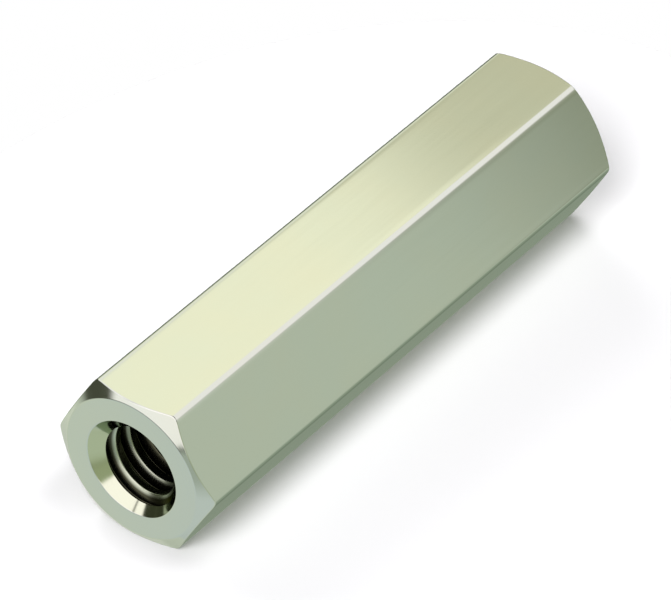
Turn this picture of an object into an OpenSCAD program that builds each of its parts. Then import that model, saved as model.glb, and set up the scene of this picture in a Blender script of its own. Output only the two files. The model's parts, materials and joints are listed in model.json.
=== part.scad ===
// Hex standoff: a drawn hexagonal bar, faced and chamfered at both ends and
// tapped right through from end to end. It lies on one of its flats, with its
// bore along X, +Z up and the origin under its middle, on the surface it lies on.

/* [Bar] */
// Width of the hexagonal bar across its flats (3/16 in)
across_flats = 4.7625; // [4.0:0.0125:8.0]
// Length from one end face to the other (3/4 in)
length = 19.05; // [6.0:0.05:50.0]
// Radius of the bar's six long edges
edge_radius = 0.22; // [0.05:0.01:0.60]

/* [End chamfers] */
// Angle between a chamfer and its end face
chamfer_angle = 30; // [15:1:45]
// How far a round end face stays inside the bar's flats
face_inset = 0.13; // [0.05:0.01:0.40]

/* [Tapped hole] */
// Diameter of the hole at the crests of its 4-40 thread
bore_diameter = 2.26; // [1.40:0.01:2.80]
// Width of the countersink's ring round the hole, seen along the bore
countersink_width = 0.42; // [0.10:0.01:0.60]
// Angle between opposite sides of a countersink
countersink_angle = 90; // [60:1:120]

/* [Hidden] */

$fn = 96;

// The hexagonal section: one rounded edge every 60 degrees
edge_count = 6;
edge_step = 360 / edge_count;
edge_arc_steps = 8;
flat_distance = across_flats / 2;
edge_centre_distance = (flat_distance - edge_radius) / cos(edge_step / 2);

// The lathe form: half of its section, from the bore out to clear of the bar
half_length = length / 2;
bore_radius = bore_diameter / 2;
countersink_radius = bore_radius + countersink_width;
countersink_depth = countersink_width / tan(countersink_angle / 2);
face_radius = flat_distance - face_inset;
clear_radius = across_flats;
chamfer_rise = (clear_radius - face_radius) * tan(chamfer_angle);

// A point at a distance and an angle from the origin
function polar(distance, angle) = distance * [cos(angle), sin(angle)];

// Points along one long edge's arc, from the flat before it to the flat after it
function edge_arc(middle) = [
    for (i = [0:edge_arc_steps])
        polar(edge_centre_distance, middle)
        + polar(edge_radius, middle + edge_step * (i / edge_arc_steps - 0.5))
];

// Hexagon with flats facing +X and -X, joined by six rounded corners
module bar_section() {
    polygon([
        for (i = [0:edge_count - 1])
            each edge_arc(edge_step * (i + 0.5))
    ]);
}

// The bar as drawn, before it meets the lathe
module hex_bar() {
    linear_extrude(height = length, center = true)
        bar_section();
}

// What the lathe leaves: the end faces with their chamfers on the outside,
// and the bore with its countersinks on the inside
module lathe_form() {
    upper = [
        [bore_radius, half_length - countersink_depth],
        [countersink_radius, half_length],
        [face_radius, half_length],
        [clear_radius, half_length - chamfer_rise]
    ];
    lower = [for (i = [len(upper) - 1:-1:0]) [upper[i].x, -upper[i].y]];
    rotate_extrude()
        polygon(concat(upper, lower));
}

module standoff() {
    color([0.74, 0.77, 0.69])
        translate([0, 0, flat_distance])
            rotate([0, 90, 0])
                intersection() {
                    hex_bar();
                    lathe_form();
                }
}

standoff();
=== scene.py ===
"""Looks of the hex standoff: a plated hexagonal bar, chamfered at both ends and tapped right through."""

import json
import math

import bmesh
import bpy
import numpy as np
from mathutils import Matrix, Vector


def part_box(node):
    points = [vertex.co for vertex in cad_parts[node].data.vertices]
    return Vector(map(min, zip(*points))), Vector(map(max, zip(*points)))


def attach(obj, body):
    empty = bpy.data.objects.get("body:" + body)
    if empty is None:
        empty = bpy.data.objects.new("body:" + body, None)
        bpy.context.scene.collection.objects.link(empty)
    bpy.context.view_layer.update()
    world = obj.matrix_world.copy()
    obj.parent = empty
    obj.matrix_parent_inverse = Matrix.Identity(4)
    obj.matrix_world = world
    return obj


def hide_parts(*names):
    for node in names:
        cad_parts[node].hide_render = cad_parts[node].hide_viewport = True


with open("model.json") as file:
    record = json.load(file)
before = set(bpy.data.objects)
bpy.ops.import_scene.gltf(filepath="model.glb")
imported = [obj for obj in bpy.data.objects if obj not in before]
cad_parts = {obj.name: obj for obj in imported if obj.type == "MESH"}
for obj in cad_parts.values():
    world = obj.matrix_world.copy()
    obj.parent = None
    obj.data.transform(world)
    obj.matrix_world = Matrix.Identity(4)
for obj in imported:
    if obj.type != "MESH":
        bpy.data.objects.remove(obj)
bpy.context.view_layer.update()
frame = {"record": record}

# ---------------------------------------------------------------- sizes from the frame, in metres
MM = 0.001
NODE = "standoff"
BODY = "root"
MOUNTS = {mount["name"]: mount for mount in frame["record"]["mounts"]}

low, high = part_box(NODE)
HALF_LENGTH = (high.x - low.x) / 2
FLAT_DISTANCE = (high.z - low.z) / 2
AXIS_HEIGHT = (high.z + low.z) / 2
CORNER_DISTANCE = (high.y - low.y) / 2

# The hexagon: one step of it, and the radius of the long edges that gives the width over them
EDGES = 6
EDGE_STEP = math.tau / EDGES
CORNER_STRETCH = 1 / math.cos(EDGE_STEP / 2)
EDGE_RADIUS = (FLAT_DISTANCE * CORNER_STRETCH - CORNER_DISTANCE) / (CORNER_STRETCH - 1)

# The drawn flats roll off a little beside the long edges
ROLL_DEPTH = 0.010 * MM
ROLL_WIDTH = 0.18 * MM
ROLL_ANGLE = math.atan(2 * ROLL_DEPTH / ROLL_WIDTH)
# Distance of a long edge's centre from the axis, for an arc that meets the roll-off without a kink
EDGE_CENTRE = (FLAT_DISTANCE - ROLL_DEPTH - EDGE_RADIUS * math.cos(ROLL_ANGLE)) * CORNER_STRETCH

# ---------------------------------------------------------------- sizes of the lathe's and the tap's work
CHAMFER_ANGLE = math.radians(30)
FACE_INSET = 0.13 * MM
FACE_RADIUS = FLAT_DISTANCE - FACE_INSET
BORE_RADIUS = MOUNTS["tapped_end_a"]["dims"]["r_mm"] * MM
SINK_WIDTH = 0.42 * MM
SINK_ANGLE = math.radians(90)
SINK_SLOPE = math.tan(SINK_ANGLE / 2)
SINK_RADIUS = BORE_RADIUS + SINK_WIDTH
SINK_DEPTH = SINK_WIDTH / SINK_SLOPE

# 4-40 thread, right-handed: where its first groove lies on the +Y side, in from the -X end
PITCH = 0.635 * MM
ROOT_RADIUS = 2.845 * MM / 2
ROOT_FLAT = PITCH / 8
FLANK_ANGLE = math.radians(30)
FLANK_WIDTH = (ROOT_RADIUS - BORE_RADIUS) * math.tan(FLANK_ANGLE)
FIRST_GROOVE = 0.54 * MM
# Turns made past the ends of the hole, because each column of the skin sees the thread further along
SPARE_TURNS = 2

# How far from a corner its rounding starts
FACE_ROUND = 0.030 * MM
CHAMFER_ROUND = 0.028 * MM
SINK_ROUND = 0.016 * MM
CREST_ROUND = 0.040 * MM
ROOT_ROUND = 0.030 * MM
RIM_X = HALF_LENGTH - SINK_ROUND / math.hypot(1, SINK_SLOPE)

# Mesh density
ARC_STEPS = 3
ROLL_STEPS = 3
FLAT_STEPS = 6
ROUND_STEPS = 3
BAR_ROWS = 10

# How the faces are joined, smoothed and sorted
WELD = 2e-8
CREASE_ANGLE = math.radians(33)
SINK_TOLERANCE = 0.004 * MM


# ---------------------------------------------------------------- the turned, drawn and tapped form
def half_outline():
    """Half a step of the hexagon, from the middle of a long edge at angle 0 to the middle of a flat."""
    half_step = EDGE_STEP / 2
    out = Vector((math.cos(half_step), math.sin(half_step)))
    along = Vector((-out.y, out.x))
    spots = []
    for step in range(ARC_STEPS + 1):
        turn = (half_step - ROLL_ANGLE) * step / ARC_STEPS
        spots.append(Vector((EDGE_CENTRE, 0)) + Vector((math.cos(turn), math.sin(turn))) * EDGE_RADIUS)
    start = spots[-1].dot(along)
    for step in range(1, ROLL_STEPS + 1):
        share = step / ROLL_STEPS
        depth = ROLL_DEPTH * (1 - share) ** 2
        spots.append(out * (FLAT_DISTANCE - depth) + along * (start + ROLL_WIDTH * share))
    flat_start = start + ROLL_WIDTH
    for step in range(1, FLAT_STEPS + 1):
        spots.append(out * FLAT_DISTANCE + along * flat_start * (1 - step / FLAT_STEPS))
    return spots


def outline():
    """The hexagon's outline as (angle, distance) from the axis, once round from +Y"""
    half = [(math.atan2(spot.y, spot.x), spot.length) for spot in half_outline()]
    step = half + [(EDGE_STEP - angle, distance) for angle, distance in reversed(half[1:-1])]
    return [(edge * EDGE_STEP + angle, distance) for edge in range(EDGES) for angle, distance in step]


def rounded(corners):
    """A line of (x, radius) points through corners of (x, radius, rounding), each inner corner rounded."""
    line = []
    for before, here, after in zip(corners, corners[1:], corners[2:]):
        corner = Vector(here[:2])
        start = corner + (Vector(before[:2]) - corner).normalized() * here[2]
        end = corner + (Vector(after[:2]) - corner).normalized() * here[2]
        for step in range(ROUND_STEPS + 1):
            s = step / ROUND_STEPS
            line.append(start * (1 - s) ** 2 + corner * 2 * s * (1 - s) + end * s ** 2)
    return line


# The corners that bar_line rounds at each end, and the rows of faces that join their points
ROUNDED_CORNERS = 3
TURNED_ROWS = ROUNDED_CORNERS * (ROUND_STEPS + 1) - 1


def bar_line(distance):
    """The outside along one column, from the +X countersink's rim round to the -X one's."""
    edge_x = HALF_LENGTH - (distance - FACE_RADIUS) * math.tan(CHAMFER_ANGLE)
    end = [
        (HALF_LENGTH - SINK_DEPTH, BORE_RADIUS, 0),
        (HALF_LENGTH, SINK_RADIUS, SINK_ROUND),
        (HALF_LENGTH, FACE_RADIUS, FACE_ROUND),
        (edge_x, distance, CHAMFER_ROUND),
        (0, distance, 0),
    ]
    near = rounded(end)
    far = [Vector((-point.x, point.y)) for point in reversed(near)]
    rows = [near[-1].lerp(far[0], row / BAR_ROWS) for row in range(1, BAR_ROWS)]
    return near + rows + far


def thread_line():
    """The tapped thread's section, with spare turns past both ends of the hole."""
    turns = 2 * (math.ceil(HALF_LENGTH / PITCH) + SPARE_TURNS)
    corners = []
    for turn in range(-SPARE_TURNS, turns):
        x = -HALF_LENGTH + FIRST_GROOVE + turn * PITCH
        corners += [
            (x - ROOT_FLAT / 2 - FLANK_WIDTH, BORE_RADIUS, CREST_ROUND),
            (x - ROOT_FLAT / 2, ROOT_RADIUS, ROOT_ROUND),
            (x + ROOT_FLAT / 2, ROOT_RADIUS, ROOT_ROUND),
            (x + ROOT_FLAT / 2 + FLANK_WIDTH, BORE_RADIUS, CREST_ROUND),
        ]
    return np.array(rounded(corners))


THREAD = thread_line()


def sink_radius(x):
    """The countersinks' radius at a place along the hole; past their inner edge, less than the bore's"""
    return SINK_RADIUS - (HALF_LENGTH - abs(x)) * SINK_SLOPE


def hole_line(angle):
    """The hole's wall along one column, from -X to +X: the wider of the thread and the countersinks."""
    x = THREAD[:, 0] + PITCH * angle / math.tau
    thread = THREAD[:, 1]
    sink = sink_radius(x)
    cut = sink - thread
    line = []
    for i in range(len(x)):
        point = Vector((x[i], thread[i]))
        if cut[i] > 0:
            point.y = sink[i]
            # The last point that the cone cuts away moves to where the cone crosses the thread
            for neighbour in (i - 1, i + 1):
                if 0 <= neighbour < len(x) and cut[neighbour] <= 0:
                    share = cut[i] / (cut[i] - cut[neighbour])
                    point.x = x[i] + (x[neighbour] - x[i]) * share
                    point.y = thread[i] + (thread[neighbour] - thread[i]) * share
        line.append(point)
    # Points past a rim gather on it, and are welded there
    return [
        point if abs(point.x) < RIM_X else Vector((math.copysign(RIM_X, point.x), sink_radius(RIM_X)))
        for point in line
    ]


DRAWN, TURNED, SUNK, TAPPED = range(4)


def finish_of(row, bar_rows):
    """The finish of one row of faces, with the hole's wall taken as tapped all along"""
    if row >= bar_rows:
        return TAPPED
    if TURNED_ROWS <= row < bar_rows - TURNED_ROWS - 1:
        return DRAWN
    return TURNED


def mark_countersinks(skin):
    """Give the faces of the hole's wall that lie on the countersinks' cones their own finish."""
    for face in skin.faces:
        centre = face.calc_center_median()
        if face.material_index == TAPPED and abs(centre.x) > HALF_LENGTH - SINK_DEPTH:
            if math.hypot(centre.y, centre.z - AXIS_HEIGHT) < sink_radius(centre.x) + SINK_TOLERANCE:
                face.material_index = SUNK


def corner_normals(skin):
    """At each face's corners, the mean normal of the faces that meet there, by area and up to a crease"""
    areas = {face: face.calc_area() for face in skin.faces}
    crease = math.cos(CREASE_ANGLE)
    normals = []
    for face in skin.faces:
        for corner in face.verts:
            total = Vector()
            for other in corner.link_faces:
                if other.normal.dot(face.normal) > crease:
                    total += other.normal * areas[other]
            normals.append(total.normalized())
    return normals


def standoff_mesh():
    """One closed skin: a column of points at each angle round the axis, and rows that join the columns."""
    columns = outline()
    # The last column lies on the first, with the thread one turn further on, and is welded to it
    columns.append((math.tau, columns[0][1]))
    skin = bmesh.new()
    rings = []
    for angle, distance in columns:
        line = bar_line(distance) + hole_line(angle)
        rings.append([
            skin.verts.new((p.x, p.y * math.cos(angle), AXIS_HEIGHT + p.y * math.sin(angle)))
            for p in line
        ])
    bar_rows = len(bar_line(CORNER_DISTANCE))
    for here, there in zip(rings, rings[1:]):
        for row in range(len(here)):
            after = (row + 1) % len(here)
            face = skin.faces.new((here[row], here[after], there[after], there[row]))
            face.smooth = True
            face.material_index = finish_of(row, bar_rows)
    bmesh.ops.remove_doubles(skin, verts=skin.verts, dist=WELD)
    bmesh.ops.recalc_face_normals(skin, faces=skin.faces)
    mark_countersinks(skin)
    normals = corner_normals(skin)
    mesh = bpy.data.meshes.new("hex_standoff")
    skin.to_mesh(mesh)
    skin.free()
    mesh.set_sharp_from_angle(angle=CREASE_ANGLE)
    mesh.normals_split_custom_set(normals)
    return mesh


# ---------------------------------------------------------------- materials
METAL = (0.48, 0.55, 0.435)
WARM_METAL = (0.49, 0.55, 0.425)
SINK_METAL = (0.41, 0.48, 0.315)
CREST_METAL = (0.36, 0.42, 0.29)
# Painted shade: the colour the tapped hole takes deep in its groove and further in
PAINTED_SHADE_METAL = (0.05, 0.055, 0.03)
EDGE_TINT = (0.60, 0.62, 0.60)
# The tapped hole's low edge tint dims its grazing reflections, as painted shade
HOLE_SHADE_TINT = (0.15, 0.15, 0.12)
PAPER = (0.80, 0.795, 0.81)

DRAWN_ROUGHNESS = 0.08
TURNED_ROUGHNESS = 0.11
SINK_ROUGHNESS = 0.10
THREAD_ROUGHNESS = 0.22
PAPER_ROUGHNESS = 0.8
PAPER_GLOSS = 0.1

# Tool marks: their size across and along, their depths, and how much they vary the roughness
MARK_WIDTH = 0.12 * MM
MARK_LENGTH = 2.5 * MM
DRAWN_MARK_DEPTH = 0.0002 * MM
TURNED_MARK_DEPTH = 0.0008 * MM
SINK_MARK_DEPTH = 0.0006 * MM
MARK_CONTRAST = 0.01

# Size of the plating's changes in tone
TONE_SIZE = 3.0 * MM

# The noise behind both, and the part of its range that they use
NOISE_DETAIL = 3
MARK_NOISE = (0.3, 0.7)
TONE_NOISE = (0.35, 0.65)

# Painted shade in the tapped hole: it darkens from its crests out into the groove, and from the end faces
# inward
GROOVE_SHADE_START = BORE_RADIUS + 0.05 * MM
GROOVE_SHADE_END = BORE_RADIUS + 0.12 * MM
INWARD_SHADE_START = 1.1 * MM
INWARD_SHADE_END = 1.7 * MM


class Nodes:
    """The node tree of a material or a world, and short ways to add nodes to it"""

    def __init__(self, owner):
        owner.use_nodes = True
        self.nodes = owner.node_tree.nodes
        self.links = owner.node_tree.links

    def give(self, socket, value):
        """Link a socket to another node's, or set it to a number, a vector or a colour."""
        if isinstance(value, bpy.types.NodeSocket):
            self.links.new(value, socket)
        elif socket.type == "RGBA":
            socket.default_value = (*value, 1)
        else:
            socket.default_value = value

    def node(self, kind, inputs=(), **settings):
        made = self.nodes.new(kind)
        for name, value in settings.items():
            setattr(made, name, value)
        for name, value in dict(inputs).items():
            self.give(made.inputs[name], value)
        return made

    def calc(self, operation, *values):
        return self.node("ShaderNodeMath", dict(enumerate(values)), operation=operation).outputs[0]

    def vector(self, operation, *values):
        return self.node("ShaderNodeVectorMath", dict(enumerate(values)), operation=operation)

    def ranged(self, value, start, end, low=0, high=1, kind="LINEAR"):
        """Low for a value up to start, high for one past end, and in between for one between them"""
        return self.node("ShaderNodeMapRange", {
            "Value": value, "From Min": start, "From Max": end, "To Min": low, "To Max": high,
        }, interpolation_type=kind).outputs["Result"]

    def mix(self, share, first, second):
        """The first colour, with a share of the second"""
        made = self.node("ShaderNodeMix", {"Factor": share}, data_type="RGBA")
        colours = [socket for socket in made.inputs if socket.type == "RGBA"]
        for socket, colour in zip(colours, (first, second)):
            self.give(socket, colour)
        return next(socket for socket in made.outputs if socket.type == "RGBA")


class Finish(Nodes):
    """A material, of metal unless it is told otherwise"""

    def __init__(self, name, roughness, colour=METAL, tint=EDGE_TINT):
        self.material = bpy.data.materials.new(name)
        super().__init__(self.material)
        self.shader = self.nodes["Principled BSDF"]
        self.roughness = roughness
        self.put("Metallic", 1.0)
        self.put("Base Color", colour)
        self.put("Roughness", roughness)
        self.put("Specular Tint", tint)

    def put(self, name, value):
        """Set or link one of the shader's own sockets."""
        self.give(self.shader.inputs[name], value)

    def place(self):
        return self.node("ShaderNodeTexCoord").outputs["Object"]

    def radius(self):
        """Distance from the hole's axis"""
        offset = self.vector("ADD", self.place(), (0, 0, -AXIS_HEIGHT)).outputs[0]
        across = self.vector("MULTIPLY", offset, (0, 1, 1)).outputs[0]
        return self.vector("LENGTH", across).outputs["Value"]

    def end_distance(self):
        """Distance in from the nearer end face"""
        along = self.node("ShaderNodeSeparateXYZ", {0: self.place()}).outputs["X"]
        return self.calc("SUBTRACT", HALF_LENGTH, self.calc("ABSOLUTE", along))

    def noise(self, place, scale):
        inputs = {"Vector": place, "Scale": scale, "Detail": NOISE_DETAIL}
        return self.node("ShaderNodeTexNoise", inputs).outputs["Fac"]

    def lines(self):
        """Lines along the bar"""
        stretch = (1 / MARK_LENGTH, 1 / MARK_WIDTH, 1 / MARK_WIDTH)
        return self.noise(self.vector("MULTIPLY", self.place(), stretch).outputs[0], 1)

    def rings(self):
        """Rings round the hole's axis"""
        outward = self.node("ShaderNodeCombineXYZ", {"X": self.radius()}).outputs[0]
        return self.noise(outward, 1 / MARK_WIDTH)

    def marks(self, pattern, depth):
        """Tool marks, in the roughness and the height"""
        smooth = self.roughness - MARK_CONTRAST
        rough = self.roughness + MARK_CONTRAST
        self.put("Roughness", self.ranged(pattern, *MARK_NOISE, smooth, rough))
        self.put("Normal", self.node("ShaderNodeBump", {"Height": pattern, "Distance": depth}).outputs[0])

    def toned(self):
        """The plating's slight changes in tone"""
        share = self.ranged(self.noise(self.place(), 1 / TONE_SIZE), *TONE_NOISE)
        self.put("Base Color", self.mix(share, METAL, WARM_METAL))


def drawn_finish():
    """Bright plating over faint lines that the die left along the bar"""
    finish = Finish("drawn_flats", DRAWN_ROUGHNESS)
    finish.marks(finish.lines(), DRAWN_MARK_DEPTH)
    finish.toned()
    return finish.material


def turned_finish():
    """Bright plating over faint rings that the cutter left round the hole's axis"""
    finish = Finish("turned_ends", TURNED_ROUGHNESS)
    finish.marks(finish.rings(), TURNED_MARK_DEPTH)
    finish.toned()
    return finish.material


def sink_finish():
    """A little darker and yellower than the ends, with rings too"""
    finish = Finish("countersinks", SINK_ROUGHNESS, SINK_METAL)
    finish.marks(finish.rings(), SINK_MARK_DEPTH)
    return finish.material


def tapped_finish_and_shade():
    """Bright at the crests near the ends, with painted shade that darkens the groove and the hole further
    in
    """
    finish = Finish("tapped_thread_shaded", THREAD_ROUGHNESS, tint=HOLE_SHADE_TINT)
    groove_shade = finish.ranged(finish.radius(), GROOVE_SHADE_START, GROOVE_SHADE_END)
    inward_shade = finish.ranged(finish.end_distance(), INWARD_SHADE_START, INWARD_SHADE_END)
    # Painted shade: the deeper of the groove's darkening and the darkening further in from the ends
    dark = finish.calc("MAXIMUM", groove_shade, inward_shade)
    finish.put("Base Color", finish.mix(dark, CREST_METAL, PAINTED_SHADE_METAL))
    return finish.material


def paper_finish():
    finish = Finish("floor_paper", PAPER_ROUGHNESS, PAPER)
    finish.put("Metallic", 0)
    finish.put("Specular IOR Level", PAPER_GLOSS)
    return finish.material


piece = bpy.data.objects.new("hex_standoff", standoff_mesh())
bpy.context.scene.collection.objects.link(piece)
# In the order of DRAWN, TURNED, SUNK and TAPPED
for make in (drawn_finish, turned_finish, sink_finish, tapped_finish_and_shade):
    piece.data.materials.append(make())
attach(piece, BODY)
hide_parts(NODE)


# ---------------------------------------------------------------- camera
def direction(azimuth, elevation):
    """A direction from two angles in degrees: azimuth 0 is +X and 90 is +Y, and elevation 90 is up."""
    turn = math.radians(azimuth)
    rise = math.radians(elevation)
    return Vector((math.cos(turn) * math.cos(rise), math.sin(turn) * math.cos(rise), math.sin(rise)))


# The picture's size in pixels, and where the part's middle lies in it
PICTURE_WIDTH = 671
PICTURE_HEIGHT = 600
MIDDLE_PIXEL = (341.8, 294.0)

CAMERA_AZIMUTH = 217.12
CAMERA_ELEVATION = 39.11
CAMERA_DISTANCE = 176.4 * MM
CAMERA_LENS = 335.5
SENSOR = 36.0
NEAREST = 10 * MM
FARTHEST = 10

middle = Vector((0, 0, AXIS_HEIGHT))
backward = direction(CAMERA_AZIMUTH, CAMERA_ELEVATION)
right = direction(CAMERA_AZIMUTH + 90, 0)
up = direction(CAMERA_AZIMUTH, CAMERA_ELEVATION + 90)
pixel = CAMERA_DISTANCE * SENSOR / CAMERA_LENS / PICTURE_WIDTH
aside = (MIDDLE_PIXEL[0] - PICTURE_WIDTH / 2) * pixel
below = (MIDDLE_PIXEL[1] - PICTURE_HEIGHT / 2) * pixel

camera = bpy.data.objects.new("camera", bpy.data.cameras.new("camera"))
camera.data.sensor_width = SENSOR
camera.data.lens = CAMERA_LENS
camera.data.clip_start = NEAREST
camera.data.clip_end = FARTHEST
camera.rotation_mode = "QUATERNION"
camera.rotation_quaternion = backward.to_track_quat("Z", "Y")
camera.location = middle + backward * CAMERA_DISTANCE - right * aside + up * below
bpy.context.scene.collection.objects.link(camera)
bpy.context.scene.camera = camera

# ---------------------------------------------------------------- floor
# White paper, lit by the lamps alone. The part mirrors the sky below it instead.
FLOOR_MIDDLE = (-1.5 * MM, 0, -0.004 * MM)
FLOOR_RADII = (19 * MM, 14 * MM, 1)
FLOOR_SIDES = 64

floor_mesh = bpy.data.meshes.new("floor")
floor_skin = bmesh.new()
bmesh.ops.create_circle(floor_skin, cap_ends=True, radius=1, segments=FLOOR_SIDES)
floor_skin.to_mesh(floor_mesh)
floor_skin.free()
floor = bpy.data.objects.new("floor", floor_mesh)
floor.location = FLOOR_MIDDLE
floor.scale = FLOOR_RADII
floor.visible_glossy = False
bpy.context.scene.collection.objects.link(floor)
floor.data.materials.append(paper_finish())


# ---------------------------------------------------------------- light
class Sky(Nodes):
    """What the part mirrors, painted by direction. Its azimuths and elevations are in degrees."""

    def __init__(self, name, colour):
        self.world = bpy.data.worlds.new(name)
        super().__init__(self.world)
        self.nodes.clear()
        self.way = self.node("ShaderNodeTexCoord").outputs["Generated"]
        x, y, z = self.node("ShaderNodeSeparateXYZ", {0: self.way}).outputs
        self.azimuth = self.calc("DEGREES", self.calc("ARCTAN2", y, x))
        self.elevation = self.calc("DEGREES", self.calc("ARCSINE", z))
        self.light = colour

    def border(self, value, place, blur):
        """1 past a place and 0 before it, or the other way round with a blur below 0"""
        return self.ranged(value, place - blur / 2, place + blur / 2, kind="SMOOTHSTEP")

    def panel(self, azimuths, elevations, colour, side_blur=4, low_blur=3, high_blur=6, slope=None):
        """A sheet of light between two azimuths and two elevations, with soft borders.

        It covers what was painted before it. With a slope, only what lies past a slanting border stays.
        """
        centre = sum(azimuths) / 2
        half = (azimuths[1] - azimuths[0]) / 2
        turn = self.calc("WRAP", self.calc("SUBTRACT", self.azimuth, centre), 180, -180)
        inside = self.border(self.calc("ABSOLUTE", turn), half, -side_blur)
        above = self.border(self.elevation, elevations[0], low_blur)
        under = self.border(self.elevation, elevations[1], -high_blur)
        share = self.calc("MULTIPLY", inside, self.calc("MULTIPLY", above, under))
        if slope:
            share = self.calc("MULTIPLY", share, self.past(**slope))
        self.light = self.mix(share, self.light, colour)

    def past(self, azimuth, elevation, lean, blur):
        """1 past a border through a direction. It runs level at a lean of 0, and upright at 90."""
        lean = math.radians(lean)
        sideways = direction(azimuth + 90, 0)
        upward = direction(azimuth, elevation + 90)
        across = sideways * math.sin(lean) + upward * math.cos(lean)
        height = self.calc("ARCSINE", self.vector("DOT_PRODUCT", self.way, across).outputs["Value"])
        return self.border(self.calc("DEGREES", height), 0, blur)

    def finish(self, backdrop):
        """Join the light to the world, for reflections alone. The camera sees a plain backdrop instead."""
        lit = self.node("ShaderNodeBackground", {"Color": self.light}).outputs[0]
        plain = self.node("ShaderNodeBackground", {"Color": backdrop}).outputs[0]
        seen = self.node("ShaderNodeLightPath").outputs["Is Camera Ray"]
        choice = self.node("ShaderNodeMixShader", {"Fac": seen, 1: lit, 2: plain}).outputs[0]
        self.node("ShaderNodeOutputWorld", {"Surface": choice})
        bpy.context.scene.world = self.world
        self.world.cycles_visibility.diffuse = False


LAMP_DISTANCE = 300 * MM


def softbox(name, azimuth, elevation, size, energy):
    """A square lamp that faces the part, to light the floor and cast the shadow. It isn't mirrored."""
    lamp = bpy.data.lights.new(name, "AREA")
    lamp.shape = "SQUARE"
    lamp.size = size
    lamp.energy = energy
    holder = bpy.data.objects.new(name, lamp)
    way = direction(azimuth, elevation)
    holder.location = middle + way * LAMP_DISTANCE
    holder.rotation_mode = "QUATERNION"
    holder.rotation_quaternion = way.to_track_quat("Z", "Y")
    holder.visible_camera = False
    holder.visible_glossy = False
    bpy.context.scene.collection.objects.link(holder)


SHADE = (0.07, 0.07, 0.05)
EDGE_LIGHT = (1.60, 1.42, 1.65)
RIM_LIGHT = (1.60, 1.42, 1.60)
FRONT_LIGHT = (2.30, 1.95, 2.40)
WHITE = (1, 1, 1)

# The camera sees the near end, at -X, and the two side faces at -Y
sky = Sky("studio", SHADE)
# Below, all round, and bluer in front of the near end: for the end face and the lower half of its chamfer
sky.panel((-190, 190), (-90, -14), (1.01, 1.00, 0.98), high_blur=14)
sky.panel((140.5, 224), (-90, -14), (0.91, 0.93, 1.05), side_blur=1.6, high_blur=14)
# Below, on the -Y side and, dimmer higher up, on the +Y side: for the countersink's left and right
sky.panel((224, 245), (-80, 0), (0.87, 0.89, 0.86), side_blur=8, low_blur=12, high_blur=12)
sky.panel((46, 108), (-70, -24), (1.32, 1.27, 1.27), side_blur=8, low_blur=6, high_blur=10)
sky.panel((62, 97), (-29, -6), (0.62, 0.62, 0.57))
# Below, past the far end: for the long edge between the side faces, and dimmer for the lower side face
sky.panel((-80, 34), (-60, -22), (0.52, 0.57, 0.52), side_blur=8, low_blur=10, high_blur=36)
sky.panel((2, 34), (-60, -22), (0.39, 0.46, 0.355), side_blur=8, low_blur=10, high_blur=36)
# Over the camera and beside it: for the rims between the near chamfer and the upper side face
sky.panel((215, 300), (34, 60), (0.60, 0.60, 0.60), side_blur=10, low_blur=10, high_blur=10)
sky.panel((236, 284), (-20, 30), (0.65, 0.68, 0.60), low_blur=10)
# Level, on the -Y side: for the upper side face, dimmer towards its far end
sky.panel((-49, 24), (-14, 24), (0.46, 0.46, 0.37), low_blur=10)
sky.panel((-80, -49), (-20, 22), (0.83, 0.84, 0.81), side_blur=3.4, low_blur=14, high_blur=16)
# High, past the far end: for the long edge between the top flat and the upper side face
sky.panel((-70, 45), (20, 62), EDGE_LIGHT, side_blur=6, low_blur=22, high_blur=6)
# Level, past the far end: for the long edge on the other side of the top flat
sky.panel((34, 66), (-14, 13), (0.32, 0.33, 0.30), low_blur=8, high_blur=8)
# Above that: for the top flat, dimmer towards its far end, and for its roll-off on the +Y side
top_slope = dict(azimuth=36.25, elevation=37.95, lean=43, blur=1.0)
sky.panel((10, 50), (18, 47), (1.01, 0.91, 0.77), low_blur=10)
sky.panel((10, 56), (33, 50), (1.70, 1.53, 1.39), side_blur=8, slope=top_slope)
sky.panel((43, 62), (12, 36), (1.45, 1.35, 1.25), low_blur=8)
# High, on the +Y side and over the near end: for the rim between the near chamfer and the top flat
sky.panel((45, 135), (28, 80), RIM_LIGHT, side_blur=6, low_blur=6)
sky.panel((135, 215), (50, 80), RIM_LIGHT, low_blur=6)
# Before the near end: for the bright lower left of its countersink, with a thin line in it
sky.panel((127, 142), (22, 42), FRONT_LIGHT)
sky.panel((145, 215), (14, 60), FRONT_LIGHT)
# Before the near end, level: for its chamfer, dark on the +Y side, bright at the top and grey past that
chamfer_slope = dict(azimuth=135.4, elevation=5.4, lean=75, blur=8.0)
sky.panel((108, 137), (-11.5, 7), (0.11, 0.107, 0.083), low_blur=6)
sky.panel((130, 215), (-1, 18), (1.68, 1.50, 1.70), side_blur=2, slope=chamfer_slope)
sky.panel((188, 210), (-30, -3), (0.62, 0.65, 0.65), side_blur=4, low_blur=20)
# Below the camera: for the left of the countersink
sky.panel((212, 240), (-14, 30), (0.62, 0.64, 0.50), side_blur=6, low_blur=34)
sky.finish(WHITE)

softbox("key", 200, 46, 120 * MM, 0.755)
softbox("wide", 235, 45, 540 * MM, 0.626)
softbox("fill", 300, 70, 120 * MM, 0.315)
softbox("back", 72, 25, 240 * MM, 0.731)

scene = bpy.context.scene
scene.view_settings.view_transform = "Standard"
scene.view_settings.look = "None"
